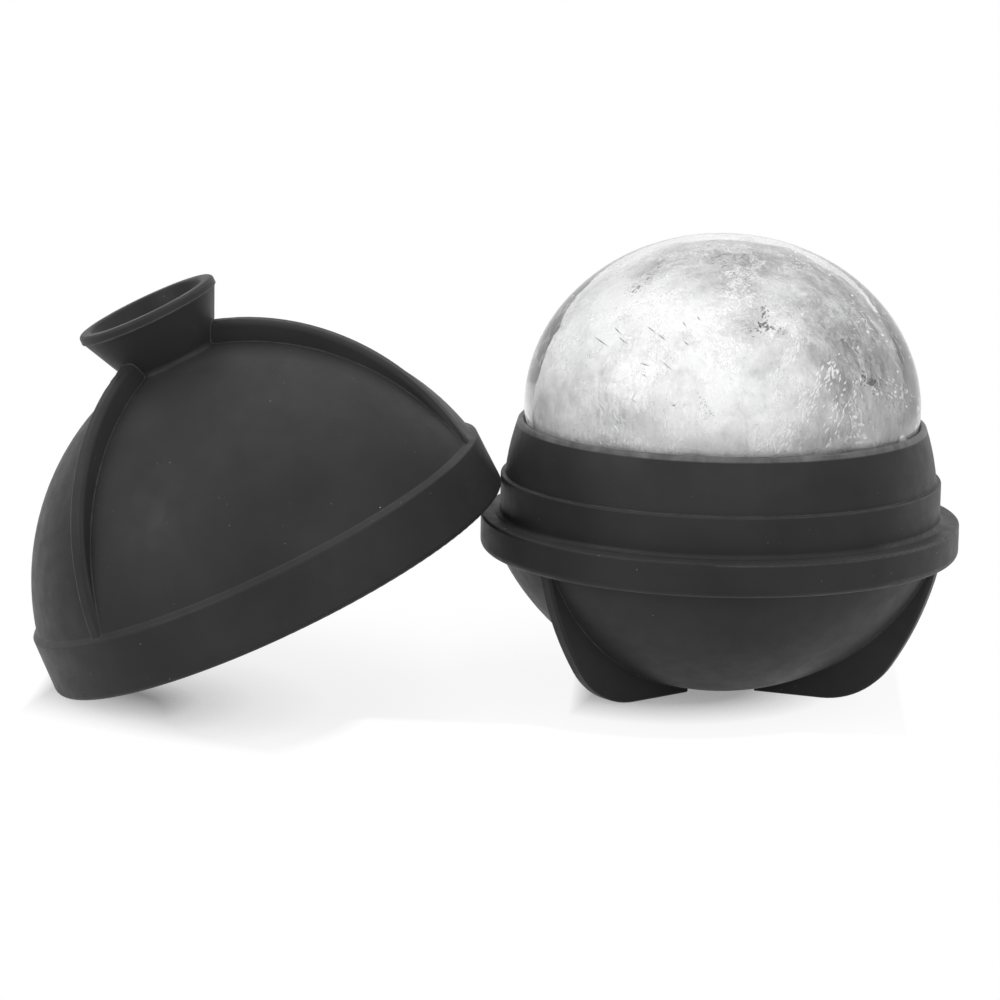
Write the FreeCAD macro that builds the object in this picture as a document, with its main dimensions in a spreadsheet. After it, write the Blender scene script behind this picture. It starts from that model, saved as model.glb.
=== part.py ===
import FreeCAD, Part
import math
import os
import Sketcher
from FreeCAD import Placement, Rotation, Vector

# Ice ball mold: a finned silicone cup, its ribbed filling lid taken off and leaning on it,
# and the ball of ice standing in the cup's rim.
# Frame: the cup's axis is Z, the floor under its three feet is z = 0, and the lid leans from -X.

doc = FreeCAD.newDocument("ice_ball_mold")

# Driving sizes in millimetres, degrees or counts
SIZES = [
    ("cavity_radius", 31.5, "inside radius of the space for the ball"),
    ("pole_wall", 2.4, "wall under the cavity, on the axis"),
    ("pole_gap", 0.2, "height of the bowl's lowest point over the floor"),
    ("bowl_growth", 7.7, "how much larger the bowl's outside curve is than the cavity's"),
    ("flange_drop", 11.4, "how far the flange's lower face lies under the cavity's centre"),
    ("flange_thickness", 5.5, "thickness of the flange"),
    ("flange_width", 3.09, "how far the flange stands out from the collar"),
    ("flange_lower_round", 1.2, "rounding of the flange's lower edge"),
    ("flange_upper_round", 0.4, "rounding of the flange's upper edge"),
    ("band_wall", 3.66, "wall of the collar's lower band"),
    ("band_height", 6.5, "height of the lower band over the flange"),
    ("band_round", 0.25, "rounding of the lower band's top edge"),
    ("band_fillet", 0.8, "fillet where the band meets the flange"),
    ("collar_step", 0.72, "width of the step between the two bands"),
    ("collar_height", 8.8, "height of the upper band over the step"),
    ("collar_curve", 38.6, "radius of the upper band's bulge"),
    ("rim_wall", 0.96, "wall of the cup at its rim"),
    ("lip_round", 0.45, "rounding of both edges of the rim"),
    ("fin_count", 3, "number of feet under the cup"),
    ("fin_thickness", 2.6, "thickness of a foot"),
    ("fin_angle", -18.0, "direction of one foot in degrees, from +X"),
    ("fin_stand", 0.985, "how far a foot stands out from the bowl just under the flange"),
    ("fin_curve", 53.5, "radius of a foot's outer edge"),
    ("foot_corner", 13.2, "rounding of a foot's corner"),
    ("fin_slant", 18.35, "how much less a foot's flat bottom reaches out than its top"),
    ("fin_inner_radius", 7.0, "inner end of a foot's flat bottom"),
    ("fin_round", 0.5, "rounding of a foot's outer edges"),
    ("lid_clearance", 0.15, "clearance of the lid round the cup's collar"),
    ("skirt_wall", 3.99, "wall of the lid's skirt at its lower edge"),
    ("lid_rim_round", 0.9, "rounding of the lid's lower outer edge"),
    ("skirt_height", 9.3, "height of the lid's skirt"),
    ("skirt_taper", 0.35, "how much narrower the skirt is at its top"),
    ("ledge_width", 0.95, "width of the sloping ledge between skirt and dome"),
    ("ledge_rise", 0.75, "rise of the ledge from skirt to dome"),
    ("ledge_round", 0.35, "rounding of the ledge's outer edge"),
    ("dome_growth", 9.8, "how much larger the radius of the dome's outline is than the cavity's"),
    ("dome_wall", 2.7, "height of the dome over the cavity where the funnel leaves it"),
    ("plug_height", 3.0, "height of the lip that closes the cavity inside the collar"),
    ("funnel_wall", 3.0, "wall round the filling hole where the funnel leaves the dome"),
    ("funnel_base_fillet", 0.8, "fillet between the funnel and the dome"),
    ("funnel_flare", 4.1, "how much wider the funnel is at its lip than at its base"),
    ("funnel_rise", 9.55, "height of the funnel over the dome"),
    ("funnel_lip_height", 1.4, "height of the funnel's lip"),
    ("funnel_lip_step", 0.2, "how far the lip stands out over the cone"),
    ("funnel_lip_wall", 1.9, "wall of the funnel at its lip"),
    ("funnel_lip_round", 0.6, "rounding of the lip's two upper edges"),
    ("throat_radius", 4.5, "radius of the filling hole"),
    ("throat_length", 2.0, "length of the filling hole"),
    ("rib_count", 3, "number of ribs on the lid"),
    ("rib_thickness", 2.9, "thickness of a rib"),
    ("rib_round", 0.9, "rounding of a rib's outer edges"),
    ("rib_angle", -14.0, "direction of one rib on the lid, in degrees"),
    ("rib_growth", 8.15, "how much larger the radius of a rib's outer edge is than the cavity's"),
    ("rib_sink", 0.25, "how far a rib's widest point stays inside the skirt's top"),
    ("rib_centre_height", 4.95, "height of a rib's centre of curvature"),
    ("rib_depth", 9.0, "depth of a rib's section, most of it inside the lid"),
    ("lean_angle", 25.45, "tilt of the lid's axis as it leans on the cup, in degrees"),
    ("lean_direction_angle", 6.7, "direction in which the lid leans, in degrees from +X"),
    ("lean_gap", 0.05, "gap between the lid's edge and the collar it leans on"),
    ("freeze_growth", 0.12, "how far the ice outgrew the cavity at its widest"),
    ("ball_flattening", 3.9, "how much less than the cavity's radius the ball measures from its centre up"),
    ("ball_gap", 0.03, "gap between the ball and the rim that carries it"),
]

# Tools that cut go past the faces they cut by this much
CUT_OVER = 1.0
# The feet go this deep into the flange above them
BITE = 0.5

# Sizes that follow from the driving ones
DERIVED = [
    ("cavity_floor", "pole_gap + pole_wall", "height of the cavity's lowest point"),
    ("cavity_centre", "cavity_floor + cavity_radius", "height of the cavity's centre"),
    ("bowl_radius", "cavity_radius + bowl_growth", "radius of the bowl's outside"),
    ("bowl_centre", "pole_gap + bowl_radius", "height of the bowl's centre"),
    ("flange_underside", "cavity_centre - flange_drop", "height of the flange's lower face"),
    ("flange_top", "flange_underside + flange_thickness", "height of the flange's upper face"),
    ("step_height", "flange_top + band_height", "height of the step between the bands"),
    ("rim_height", "step_height + collar_height", "height of the cup's rim"),
    ("band_radius", "cavity_radius + band_wall", "outside radius of the lower band"),
    ("step_radius", "band_radius - collar_step", "outside radius of the upper band's foot"),
    ("rim_radius", "cavity_radius + rim_wall", "outside radius of the cup's rim"),
    ("flange_radius", "band_radius + flange_width", "outside radius of the flange"),
    ("lip_rounding", "min(lip_round; 0.48 * rim_wall)", "rounding that the rim's wall has room for"),
    ("bowl_edge", "sqrt(bowl_radius ^ 2 - (bowl_centre - flange_underside) ^ 2)",
     "radius of the bowl where it meets the flange"),
    ("fin_top_radius", "bowl_edge + fin_stand", "reach of a foot just under the flange"),
    ("flange_lower_rounding", "min(flange_lower_round; 0.85 * (flange_radius - fin_top_radius))",
     "rounding that the flange has room for outside the feet"),
    ("foot_radius", "fin_top_radius - fin_slant", "reach of a foot's flat bottom"),
    ("lid_centre", "cavity_centre - flange_top", "height of the ball's centre in the closed lid"),
    ("lid_rim_radius", "band_radius + lid_clearance + skirt_wall", "outside radius of the lid's edge"),
    ("ledge_radius", "lid_rim_radius - skirt_taper", "outside radius of the skirt's top"),
    ("crease_radius", "ledge_radius - ledge_width", "radius of the dome's foot"),
    ("crease_height", "skirt_height + ledge_rise", "height of the dome's foot"),
    ("dome_curve", "cavity_radius + dome_growth", "radius of the dome's outline"),
    ("dome_height", "lid_centre + cavity_radius + dome_wall", "height of the funnel's foot"),
    ("funnel_base_radius", "throat_radius + funnel_wall", "outside radius of the funnel's foot"),
    ("funnel_lip_radius", "funnel_base_radius + funnel_flare", "outside radius of the funnel's lip"),
    ("funnel_height", "dome_height + funnel_rise", "height of the funnel's lip"),
    ("mouth_radius", "funnel_lip_radius - funnel_lip_wall", "inside radius of the funnel's lip"),
    ("rib_curve", "cavity_radius + rib_growth", "radius of a rib's outer edge"),
    ("rib_reach", "ledge_radius - rib_sink", "reach of a rib at its widest"),
    ("ball_radius", "cavity_radius + freeze_growth", "radius of the ball at its widest"),
    ("ball_half_height", "cavity_radius - ball_flattening", "half of the ball's height"),
]

sheet = doc.addObject("Spreadsheet::Sheet", "sizes")
formulas = [(alias, f"={formula}", note) for alias, formula, note in DERIVED]
for row, (alias, content, note) in enumerate(SIZES + formulas, start=1):
    sheet.set(f"A{row}", alias)
    sheet.set(f"B{row}", str(content))
    sheet.setAlias(f"B{row}", alias)
    sheet.set(f"C{row}", note)
doc.recompute()


def value(expression):
    """The number that an expression of the sheet's sizes gives."""
    return float(sheet.evalExpression(expression))


def origin_feature(body, role):
    """A plane or axis of a body's own origin."""
    return next(item for item in body.Origin.OriginFeatures if item.Role == role)


def new_body(name):
    """A body whose name is its node's name."""
    body = doc.addObject("PartDesign::Body", name)
    body.Label = name
    return body


def new_sketch(body, name, role, turn="0", lift="0"):
    """A sketch on a plane of the body, turned about the body's Z axis and lifted along it."""
    sketch = body.newObject("Sketcher::SketchObject", name)
    sketch.AttachmentSupport = [(origin_feature(body, role), "")]
    sketch.MapMode = "FlatFace"
    upright = Vector(0, 1, 0) if role == "XZ_Plane" else Vector(0, 0, 1)
    sketch.AttachmentOffset = Placement(upright * value(lift), Rotation(upright, value(turn)))
    if turn != "0":
        sketch.setExpression("AttachmentOffset.Rotation.Angle", turn)
    if lift != "0":
        sketch.setExpression("AttachmentOffset.Base.z", lift)
    return sketch


def bind(sketch, constraint, expression):
    """Adds a constraint and ties its number to the sheet."""
    index = sketch.addConstraint(constraint)
    sketch.setExpression(f"Constraints[{index}]", expression)


def place_point(sketch, geometry, end, across, up):
    """Ties one end of a line or arc to its place across and up from the sketch's origin."""
    if across == "0":
        sketch.addConstraint(Sketcher.Constraint("PointOnObject", geometry, end, -2))
    else:
        bind(sketch, Sketcher.Constraint("DistanceX", -1, 1, geometry, end, value(across)), across)
    if up == "0":
        sketch.addConstraint(Sketcher.Constraint("PointOnObject", geometry, end, -1))
    else:
        bind(sketch, Sketcher.Constraint("DistanceY", -1, 1, geometry, end, value(up)), up)


def arc_between(start, end, radius, side):
    """The short arc from start to end, its centre on the left (1) or right (-1) of the way."""
    chord = end - start
    left = Vector(-chord.y, chord.x, 0).normalize()
    centre = (start + end) * 0.5 + left * side * math.sqrt(radius**2 - chord.Length**2 / 4)
    angles = [math.atan2(point.y - centre.y, point.x - centre.x) for point in (start, end)]
    if side < 0:
        angles.reverse()
    return Part.ArcOfCircle(Part.Circle(centre, Vector(0, 0, 1), radius), *angles)


def draw_outline(sketch, corners, curves):
    """Draws a closed outline: corners are (across, up), curves give a side's radius and centre side."""
    points = [Vector(value(across), value(up), 0) for across, up in corners]
    sides = []
    for index, start in enumerate(points):
        end = points[(index + 1) % len(points)]
        if index in curves:
            radius, side = curves[index]
            geometry = sketch.addGeometry(arc_between(start, end, value(radius), side))
            bind(sketch, Sketcher.Constraint("Radius", geometry, value(radius)), radius)
            sides.append((geometry, 1, 2) if side > 0 else (geometry, 2, 1))
        else:
            sides.append((sketch.addGeometry(Part.LineSegment(start, end)), 1, 2))
    for index, (geometry, first, last) in enumerate(sides):
        following, following_first, _ = sides[(index + 1) % len(sides)]
        sketch.addConstraint(
            Sketcher.Constraint("Coincident", geometry, last, following, following_first))
        place_point(sketch, geometry, first, *corners[index])


def turned(body, kind, name, sketch):
    """A Revolution or Groove of a sketch about the body's Z axis, checked to add or to cut."""
    before = body.Shape.Volume if body.Tip else 0.0
    feature = body.newObject(f"PartDesign::{kind}", name)
    feature.Profile = sketch
    feature.ReferenceAxis = (sketch, ["V_Axis"])
    feature.Angle = 360.0
    body.Tip = feature
    doc.recompute()
    gained = body.Shape.Volume - before
    if (gained > 0) != (kind == "Revolution"):
        raise RuntimeError(f"{name} went the wrong way")
    return feature


def pattern(body, name, original, count):
    """Copies a feature evenly round the body's Z axis."""
    copies = body.newObject("PartDesign::PolarPattern", name)
    copies.Originals = [original]
    copies.Axis = (origin_feature(body, "Z_Axis"), [""])
    copies.Angle = 360.0
    copies.Occurrences = int(value(count))
    copies.setExpression("Occurrences", count)
    body.Tip = copies
    doc.recompute()
    return copies


def circle_edges(body, radius, centre_height=None):
    """Names of the round edges of a body that have this radius, and this centre height if given."""
    names = []
    for number, edge in enumerate(body.Tip.Shape.Edges, start=1):
        if edge.Degenerated or edge.Curve.TypeId != "Part::GeomCircle":
            continue
        curve = edge.Curve
        if abs(curve.Radius - radius) > 0.001:
            continue
        if centre_height is None or abs(curve.Center.z - centre_height) < 0.001:
            names.append(f"Edge{number}")
    return names


def rounded(body, name, edges, size):
    """Fillets the named edges of the body's tip."""
    if not edges:
        raise RuntimeError(f"{name} found no edge to round")
    base = body.Tip
    fillet = body.newObject("PartDesign::Fillet", name)
    fillet.Base = (base, edges)
    fillet.Radius = value(size)
    fillet.setExpression("Radius", size)
    body.Tip = fillet
    doc.recompute()
    return fillet


def draw_fin(sketch):
    """A foot's outline: flat on the floor, a round corner, and a long curve up to the flange."""
    top_height = f"sizes.flange_underside + {BITE}"
    inner, reach = "sizes.fin_inner_radius", "sizes.foot_radius"
    toe = Vector(value(reach), 0, 0)
    top = Vector(value("sizes.fin_top_radius"), value(top_height), 0)
    corner, curve = value("sizes.foot_corner"), value("sizes.fin_curve")
    corner_centre = toe + Vector(0, corner, 0)
    # The long curve touches the corner from outside it: its centre closes a triangle of known sides
    base = top - corner_centre
    along = ((curve - corner)**2 - curve**2 + base.Length**2) / (2 * base.Length)
    aside = math.sqrt((curve - corner)**2 - along**2)
    unit = Vector(base).normalize()
    curve_centre = corner_centre + unit * along + Vector(-unit.y, unit.x, 0) * aside
    touch = corner_centre + (corner_centre - curve_centre).normalize() * corner
    inner_low = Vector(value(inner), 0, 0)
    inner_high = Vector(value(inner), top.y, 0)
    floor = sketch.addGeometry(Part.LineSegment(inner_low, toe))
    corner_arc = sketch.addGeometry(arc_between(toe, touch, corner, 1))
    curve_arc = sketch.addGeometry(arc_between(touch, top, curve, 1))
    under_flange = sketch.addGeometry(Part.LineSegment(top, inner_high))
    inner_side = sketch.addGeometry(Part.LineSegment(inner_high, inner_low))
    place_point(sketch, floor, 1, inner, "0")
    place_point(sketch, floor, 2, reach, "0")
    sketch.addConstraint(Sketcher.Constraint("Tangent", floor, 2, corner_arc, 1))
    sketch.addConstraint(Sketcher.Constraint("Tangent", corner_arc, 2, curve_arc, 1))
    bind(sketch, Sketcher.Constraint("Radius", corner_arc, corner), "sizes.foot_corner")
    bind(sketch, Sketcher.Constraint("Radius", curve_arc, curve), "sizes.fin_curve")
    place_point(sketch, curve_arc, 2, "sizes.fin_top_radius", top_height)
    sketch.addConstraint(Sketcher.Constraint("Coincident", curve_arc, 2, under_flange, 1))
    sketch.addConstraint(Sketcher.Constraint("Coincident", under_flange, 2, inner_side, 1))
    sketch.addConstraint(Sketcher.Constraint("Coincident", inner_side, 2, floor, 1))
    sketch.addConstraint(Sketcher.Constraint("Horizontal", under_flange))
    sketch.addConstraint(Sketcher.Constraint("Vertical", inner_side))


def build_cup():
    """The cup: bowl, flange and two-step collar turned in one, on three fins, then hollowed."""
    body = new_body("mold_cup")
    outside = new_sketch(body, "cup_outside", "XZ_Plane")
    draw_outline(outside, [
        ("0", "sizes.pole_gap"),
        ("sizes.bowl_edge", "sizes.flange_underside"),
        ("sizes.flange_radius", "sizes.flange_underside"),
        ("sizes.flange_radius", "sizes.flange_top"),
        ("sizes.band_radius", "sizes.flange_top"),
        ("sizes.band_radius", "sizes.step_height"),
        ("sizes.step_radius", "sizes.step_height"),
        ("sizes.rim_radius", "sizes.rim_height"),
        ("0", "sizes.rim_height"),
    ], {0: ("sizes.bowl_radius", 1), 6: ("sizes.collar_curve", 1)})
    turned(body, "Revolution", "cup_solid", outside)

    fin_outline = new_sketch(body, "fin_outline", "XZ_Plane", turn="sizes.fin_angle")
    draw_fin(fin_outline)
    fin = body.newObject("PartDesign::Pad", "fin")
    fin.Profile = fin_outline
    fin.SideType = "Symmetric"
    fin.Length = value("sizes.fin_thickness")
    fin.setExpression("Length", "sizes.fin_thickness")
    body.Tip = fin
    doc.recompute()
    pattern(body, "fins", fin, "sizes.fin_count")

    cavity = new_sketch(body, "cup_cavity_outline", "XZ_Plane")
    above_rim = f"sizes.rim_height + {CUT_OVER}"
    draw_outline(cavity, [
        ("0", "sizes.cavity_floor"),
        ("sizes.cavity_radius", "sizes.cavity_centre"),
        ("sizes.cavity_radius", above_rim),
        ("0", above_rim),
    ], {0: ("sizes.cavity_radius", 1)})
    turned(body, "Groove", "cup_cavity", cavity)

    fin_edges = circle_edges(body, value("sizes.fin_curve"))
    fin_edges += circle_edges(body, value("sizes.foot_corner"))
    rounded(body, "fin_rounding", fin_edges, "sizes.fin_round")
    flange_radius = value("sizes.flange_radius")
    rounded(body, "flange_lower_rounding",
            circle_edges(body, flange_radius, value("sizes.flange_underside")),
            "sizes.flange_lower_rounding")
    rounded(body, "flange_upper_rounding",
            circle_edges(body, flange_radius, value("sizes.flange_top")), "sizes.flange_upper_round")
    band_radius = value("sizes.band_radius")
    rounded(body, "band_foot", circle_edges(body, band_radius, value("sizes.flange_top")),
            "sizes.band_fillet")
    rounded(body, "band_rounding", circle_edges(body, band_radius, value("sizes.step_height")),
            "sizes.band_round")
    rim_height = value("sizes.rim_height")
    rim_edges = circle_edges(body, value("sizes.rim_radius"), rim_height)
    rim_edges += circle_edges(body, value("sizes.cavity_radius"), rim_height)
    rounded(body, "rim_lip", rim_edges, "sizes.lip_rounding")
    return body


def build_lid():
    """The lid: skirt, dome and funnel turned in one, with three ribs, then hollowed to fit the cup."""
    body = new_body("mold_lid")
    outside = new_sketch(body, "lid_outside", "XZ_Plane")
    lip_under = "sizes.funnel_height - sizes.funnel_lip_height"
    draw_outline(outside, [
        ("0", "0"),
        ("sizes.lid_rim_radius", "0"),
        ("sizes.ledge_radius", "sizes.skirt_height"),
        ("sizes.crease_radius", "sizes.crease_height"),
        ("sizes.funnel_base_radius", "sizes.dome_height"),
        ("sizes.funnel_lip_radius - sizes.funnel_lip_step", lip_under),
        ("sizes.funnel_lip_radius", lip_under),
        ("sizes.funnel_lip_radius", "sizes.funnel_height"),
        ("0", "sizes.funnel_height"),
    ], {3: ("sizes.dome_curve", 1)})
    turned(body, "Revolution", "lid_solid", outside)
    rounded(body, "ledge_rounding",
            circle_edges(body, value("sizes.ledge_radius"), value("sizes.skirt_height")),
            "sizes.ledge_round")
    rounded(body, "funnel_base_rounding",
            circle_edges(body, value("sizes.funnel_base_radius"), value("sizes.dome_height")),
            "sizes.funnel_base_fillet")

    # A rib is a round-edged bar bent about an axis that lies across it, beside the lid's own axis
    section = new_sketch(body, "rib_section", "XY_Plane", turn="sizes.rib_angle",
                         lift="sizes.rib_centre_height")
    draw_rib_section(section)
    rib = body.newObject("PartDesign::Revolution", "rib")
    rib.Profile = section
    rib.ReferenceAxis = (section, ["Axis0"])
    rib.Angle = 90.0
    body.Tip = rib
    doc.recompute()
    if rib.AddSubShape.BoundBox.ZMax < value("sizes.rib_curve"):
        rib.Reversed = True
        doc.recompute()
    pattern(body, "ribs", rib, "sizes.rib_count")

    inside = new_sketch(body, "lid_inside_outline", "XZ_Plane")
    draw_lid_inside(inside)
    turned(body, "Groove", "lid_inside", inside)

    rounded(body, "lid_rim_rounding", circle_edges(body, value("sizes.lid_rim_radius"), 0.0),
            "sizes.lid_rim_round")
    top = value("sizes.funnel_height")
    lip_edges = circle_edges(body, value("sizes.funnel_lip_radius"), top)
    lip_edges += circle_edges(body, value("sizes.mouth_radius"), top)
    rounded(body, "funnel_lip_rounding", lip_edges, "sizes.funnel_lip_round")
    return body


def draw_rib_section(sketch):
    """A rib's section, rounded on its outer side, and the axis it is bent about."""
    outer = "sizes.rib_reach"
    across = "sizes.rib_curve - sizes.rib_reach"
    half = value("sizes.rib_thickness") / 2
    left = -value(across)
    axis = sketch.addGeometry(
        Part.LineSegment(Vector(left, -half, 0), Vector(left, half, 0)), True)
    sketch.addConstraint(Sketcher.Constraint("Vertical", axis))
    bind(sketch, Sketcher.Constraint("DistanceX", axis, 1, -1, 1, -left), across)
    inner = f"({outer} - sizes.rib_depth)"
    side = "(sizes.rib_thickness / 2)"
    flat = f"({side} - sizes.rib_round)"
    shoulder = f"({outer} - sizes.rib_round)"
    draw_outline(sketch, [
        (inner, f"-{side}"),
        (shoulder, f"-{side}"),
        (outer, f"-{flat}"),
        (outer, flat),
        (shoulder, side),
        (inner, side),
    ], {1: ("sizes.rib_round", 1), 3: ("sizes.rib_round", 1)})


def draw_lid_inside(sketch):
    """The hollow of the lid, its heights counted from the flange that its lower edge seats on."""
    clearance = "sizes.lid_clearance"
    under = f"0 - {CUT_OVER}"
    band_top = f"(sizes.band_height + {clearance})"
    socket_top = f"(sizes.band_height + sizes.collar_height + {clearance})"
    plug_radius = f"(sizes.cavity_radius - {clearance})"
    plug_foot = f"({socket_top} - sizes.plug_height)"
    plug_inner = f"sqrt(sizes.cavity_radius ^ 2 - ({plug_foot} - sizes.lid_centre) ^ 2)"
    throat_foot = "(sizes.lid_centre + sqrt(sizes.cavity_radius ^ 2 - sizes.throat_radius ^ 2))"
    above = f"sizes.funnel_height + {CUT_OVER}"
    draw_outline(sketch, [
        ("0", under),
        (f"sizes.band_radius + {clearance}", under),
        (f"sizes.band_radius + {clearance}", band_top),
        (f"sizes.step_radius + {clearance}", band_top),
        (f"sizes.rim_radius + {clearance}", socket_top),
        (plug_radius, socket_top),
        (plug_radius, plug_foot),
        (plug_inner, plug_foot),
        ("sizes.throat_radius", throat_foot),
        ("sizes.throat_radius", f"{throat_foot} + sizes.throat_length"),
        ("sizes.mouth_radius", "sizes.funnel_height"),
        ("sizes.mouth_radius", above),
        ("0", above),
    ], {3: (f"sizes.collar_curve + {clearance}", 1), 7: ("sizes.cavity_radius", 1)})


def lean_lid(body):
    """Stands the lid on its low edge and lays its high edge against the collar's lower band."""
    lean = math.radians(value("sizes.lean_angle"))
    direction = math.radians(value("sizes.lean_direction_angle"))
    rounding = value("sizes.lid_rim_round")
    # The lid touches with its rounded rim, whose rounding has its centre on this circle
    flare = math.atan2(value("sizes.lid_rim_radius - sizes.ledge_radius"),
                       value("sizes.skirt_height"))
    circle = value("sizes.lid_rim_radius") - rounding * (math.tan(flare) + 1 / math.cos(flare))
    height = circle * math.sin(lean) - rounding * math.cos(lean) + rounding
    reach = circle * math.cos(lean) - rounding * math.sin(lean) + rounding
    away = value("sizes.band_radius + sizes.lean_gap") + reach
    body.Placement = Placement(
        Vector(-away * math.cos(direction), -away * math.sin(direction), height),
        Rotation(value("sizes.lean_direction_angle"), -value("sizes.lean_angle"), 0))


def build_ball():
    """The ball of ice, a little flat, its widest part just over the rim that it stands in."""
    body = new_body("ice_ball")
    ball = body.newObject("PartDesign::AdditiveEllipsoid", "ball")
    ball.Radius1 = value("sizes.ball_half_height")
    ball.Radius2 = value("sizes.ball_radius")
    ball.Radius3 = value("sizes.ball_radius")
    ball.setExpression("Radius1", "sizes.ball_half_height")
    ball.setExpression("Radius2", "sizes.ball_radius")
    ball.setExpression("Radius3", "sizes.ball_radius")
    # The rim carries it where it is as wide as the cavity, less the gap, just under the rim's rounding
    seat_share = "((sizes.cavity_radius - sizes.ball_gap) / sizes.ball_radius)"
    over_seat = f"sizes.ball_half_height * sqrt(1 - {seat_share} ^ 2)"
    body.setExpression("Placement.Base.z", f"sizes.rim_height - sizes.lip_rounding + {over_seat}")
    doc.recompute()
    return body


cup = build_cup()
lid = build_lid()
lean_lid(lid)
ball = build_ball()
doc.recompute()

for item in doc.Objects:
    if {"Invalid", "Error"} & set(item.State):
        raise RuntimeError(f"{item.Name} failed: {item.State}")

os.makedirs("parts", exist_ok=True)
for body in (cup, lid, ball):
    shape = body.Shape
    if shape.isNull() or not shape.isValid() or len(shape.Solids) != 1:
        raise RuntimeError(f"{body.Label} is not one valid solid")
    shape.exportStep(f"parts/{body.Label}.step")
    box = shape.BoundBox
    print(f"{body.Label}: {shape.Volume / 1000:.2f} cm3, "
          f"{box.XLength:.2f} x {box.YLength:.2f} x {box.ZLength:.2f} mm, lowest {box.ZMin:.3f}")
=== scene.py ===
# %% [markdown]
# This lesson dresses a mold for one large ball of ice. The object has three separate pieces: a cup
# of black silicone on three fins, its lid of the same rubber with a funnel on top, and the ball.
# The shapes of the rubber are already made, so the first step only loads them as a fixed frame.
# Blender's work is what a plain solid lacks: rubber that looks like rubber, ice with a cloud and
# cracks in it, the dust that silicone always carries, and light that shows all of these.

# %% Load the three pieces
import math
import random
from collections import namedtuple

import bmesh
import bpy
from mathutils import Matrix, Vector, noise


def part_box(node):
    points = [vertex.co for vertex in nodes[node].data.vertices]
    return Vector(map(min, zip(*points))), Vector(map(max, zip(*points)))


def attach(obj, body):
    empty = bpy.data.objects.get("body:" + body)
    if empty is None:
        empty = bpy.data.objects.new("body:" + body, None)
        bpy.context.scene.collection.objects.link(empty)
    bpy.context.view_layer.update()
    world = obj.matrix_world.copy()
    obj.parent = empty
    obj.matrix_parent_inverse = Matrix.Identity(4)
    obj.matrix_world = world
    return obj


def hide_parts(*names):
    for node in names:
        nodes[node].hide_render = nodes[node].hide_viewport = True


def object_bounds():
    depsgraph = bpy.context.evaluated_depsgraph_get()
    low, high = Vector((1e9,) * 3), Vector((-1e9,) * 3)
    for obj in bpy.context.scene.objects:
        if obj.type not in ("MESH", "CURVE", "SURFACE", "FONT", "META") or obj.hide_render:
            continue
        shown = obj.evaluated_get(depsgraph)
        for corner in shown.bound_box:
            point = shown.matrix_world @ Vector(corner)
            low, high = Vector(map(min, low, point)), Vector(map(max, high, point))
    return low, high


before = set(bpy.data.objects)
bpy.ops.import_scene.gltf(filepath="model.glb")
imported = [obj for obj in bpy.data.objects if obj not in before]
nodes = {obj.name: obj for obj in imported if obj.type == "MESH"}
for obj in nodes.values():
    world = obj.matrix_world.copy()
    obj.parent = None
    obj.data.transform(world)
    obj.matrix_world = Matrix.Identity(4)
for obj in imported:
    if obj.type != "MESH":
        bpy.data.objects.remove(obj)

MM = 0.001
cad_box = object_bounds()
print("pieces of the mold:", sorted(nodes))

# %% [markdown]
# The camera comes first, because every later step is judged through it. A long lens far away
# flattens the view, as in a catalogue picture. A camera could be aimed with a tracking constraint,
# but here its three axes are written out, so that the small roll of the picture is kept as well.

# %% Put the camera where the picture was taken
CAMERA_AT = Vector((0.0, -0.650, 0.1585))
LOOK_DOWN = math.radians(11.204)
LOOK_LEFT = math.radians(3.104)
ROLL = math.radians(0.91)
PICTURE_WIDTH = 1000.0
PIXELS_PER_RADIAN = 4129.4
SENSOR_MM = 36.0

ahead = Vector((-math.sin(LOOK_LEFT) * math.cos(LOOK_DOWN),
                math.cos(LOOK_LEFT) * math.cos(LOOK_DOWN),
                -math.sin(LOOK_DOWN)))
level = Vector((math.cos(LOOK_LEFT), math.sin(LOOK_LEFT), 0.0))
upward = level.cross(ahead)
camera_right = level * math.cos(ROLL) + upward * math.sin(ROLL)
camera_up = upward * math.cos(ROLL) - level * math.sin(ROLL)

camera_data = bpy.data.cameras.new("picture_camera")
camera_data.sensor_width = SENSOR_MM
camera_data.lens = PIXELS_PER_RADIAN / PICTURE_WIDTH * SENSOR_MM
camera = bpy.data.objects.new("picture_camera", camera_data)
turn = Matrix((camera_right, camera_up, -ahead)).transposed()
camera.matrix_world = Matrix.Translation(CAMERA_AT) @ turn.to_4x4()
bpy.context.scene.collection.objects.link(camera)
bpy.context.scene.camera = camera
bpy.context.scene.view_settings.view_transform = "Standard"
print("lens in mm:", round(camera_data.lens, 2))

# %% [markdown]
# A material is a small graph of nodes. Writing each graph node by node takes many lines, so a few
# helpers add a node and wire it. These ones start a material and make the two patterns that every
# finish here needs: a cloudy noise, and a ramp or a range that turns the noise into tones.


# %% Helpers that make patterns
def new_material(name):
    """A material, its graph, the surface shader in it and the coordinates of the object."""
    material = bpy.data.materials.new(name)
    material.use_nodes = True
    graph = material.node_tree
    shader = graph.nodes["Principled BSDF"]
    place = graph.nodes.new("ShaderNodeTexCoord").outputs["Object"]
    return material, graph, shader, place


def noise_of(graph, place, feature, detail=3.0, roughness=0.5, distortion=0.0):
    """A noise whose blots are about as wide as feature, in metres."""
    node = graph.nodes.new("ShaderNodeTexNoise")
    node.inputs["Scale"].default_value = 1.0 / feature
    node.inputs["Detail"].default_value = detail
    node.inputs["Roughness"].default_value = roughness
    node.inputs["Distortion"].default_value = distortion
    graph.links.new(place, node.inputs["Vector"])
    return node.outputs["Fac"]


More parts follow.
